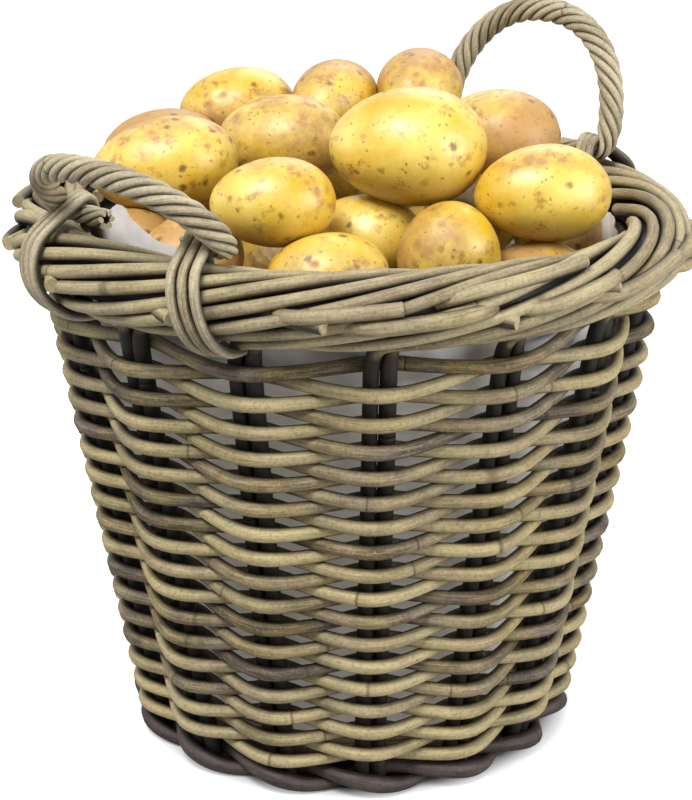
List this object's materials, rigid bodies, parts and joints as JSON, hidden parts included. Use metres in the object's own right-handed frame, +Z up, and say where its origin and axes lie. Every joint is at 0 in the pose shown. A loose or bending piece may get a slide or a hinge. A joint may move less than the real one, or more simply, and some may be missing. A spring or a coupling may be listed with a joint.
{
  "type": "potato basket",
  "caption": "Round tapered rattan basket with a rolled border, folding roped handles and a film liner, heaped with loose potatoes that lift out.",
  "frame": {"origin": "middle of the foot ring, on the floor, under the middle of the box to within 4 mm", "axes": "+Z up; the handles stand on the X axis, the one that leans out further on -X"},
  "size_m": [0.453, 0.4494, 0.4732],
  "materials": {
    "weaver": "dry grey-brown cane",
    "stake": "dark cane",
    "hoop": "dry cane",
    "foot": "dark stained cane",
    "base": "dry cane",
    "film": "thin clear film",
    "rope": "dry twisted cane",
    "lashing": "dry cane",
    "potato": "thin waxy skin with dust"
  },
  "bodies": {
    "basket": {"foot_wale": "foot", "base_plate": "base", "base_sticks": "base", "stake_pair_1": "stake", "stake_pair_2": "stake", "stake_pair_3": "stake", "stake_pair_4": "stake", "stake_pair_5": "stake", "stake_pair_6": "stake", "stake_pair_7": "stake", "stake_pair_8": "stake", "stake_pair_9": "stake", "stake_pair_10": "stake", "stake_pair_11": "stake", "stake_pair_12": "stake", "stake_pair_13": "stake", "stake_pair_14": "stake", "stake_pair_15": "stake", "wall_weaver_1": "weaver", "wall_weaver_2": "weaver", "wall_weaver_3": "weaver", "wall_weaver_4": "weaver", "wall_weaver_5": "weaver", "wall_weaver_6": "weaver", "wall_weaver_7": "weaver", "border_hoop": "hoop", "liner": "film", "lashing_left_front": "lashing", "lashing_left_back": "lashing", "lashing_right_front": "lashing", "lashing_right_back": "lashing"},
    "handle_left": {"handle_left": "rope"},
    "handle_right": {"handle_right": "rope"},
    "potatoes": {"potato_heap": "potato", "potato_front_left": "potato", "potato_front_right": "potato", "potato_front_middle": "potato", "potato_right": "potato", "potato_back_left": "potato", "potato_right_low": "potato", "potato_left_low": "potato", "potato_front_left_low": "potato", "potato_middle_low": "potato", "potato_back_left_low": "potato", "potato_front_centre": "potato", "potato_brown_centre": "potato", "potato_back_middle": "potato", "potato_back_left_under": "potato", "potato_back_under": "potato", "potato_back_right_under": "potato", "potato_left_under": "potato"},
    "potato_back_right": {"potato_back_right": "potato"},
    "potato_left": {"potato_left": "potato"},
    "potato_front": {"potato_front": "potato"},
    "potato_back_top": {"potato_back_top": "potato"},
    "potato_top": {"potato_top": "potato"}
  },
  "joints": [
    {"name": "handle_left_swing", "type": "hinge", "parent": "basket", "child": "handle_left", "pos_m": [-0.17988, 0, 0.37537], "axis": [0, -1, 0], "range_deg": [-37, 5]},
    {"name": "handle_right_swing", "type": "hinge", "parent": "basket", "child": "handle_right", "pos_m": [0.17988, 0, 0.37537], "axis": [0, 1, 0], "range_deg": [-8, 45]},
    {"name": "potato_heap_lift", "type": "slide", "parent": "basket", "child": "potatoes", "axis": [0, 0, 1], "range_m": [0, 0.38]},
    {"name": "potato_back_right_lift", "type": "slide", "parent": "potatoes", "child": "potato_back_right", "axis": [0, 0, 1], "range_m": [0, 0.2]},
    {"name": "potato_left_lift", "type": "slide", "parent": "potatoes", "child": "potato_left", "axis": [0, 0, 1], "range_m": [0, 0.2]},
    {"name": "potato_front_lift", "type": "slide", "parent": "potatoes", "child": "potato_front", "axis": [0, 0, 1], "range_m": [0, 0.2]},
    {"name": "potato_back_top_lift", "type": "slide", "parent": "potatoes", "child": "potato_back_top", "axis": [0, 0, 1], "range_m": [0, 0.2]},
    {"name": "potato_top_lift", "type": "slide", "parent": "potatoes", "child": "potato_top", "axis": [0, 0, 1], "range_m": [0, 0.2]}
  ]
}
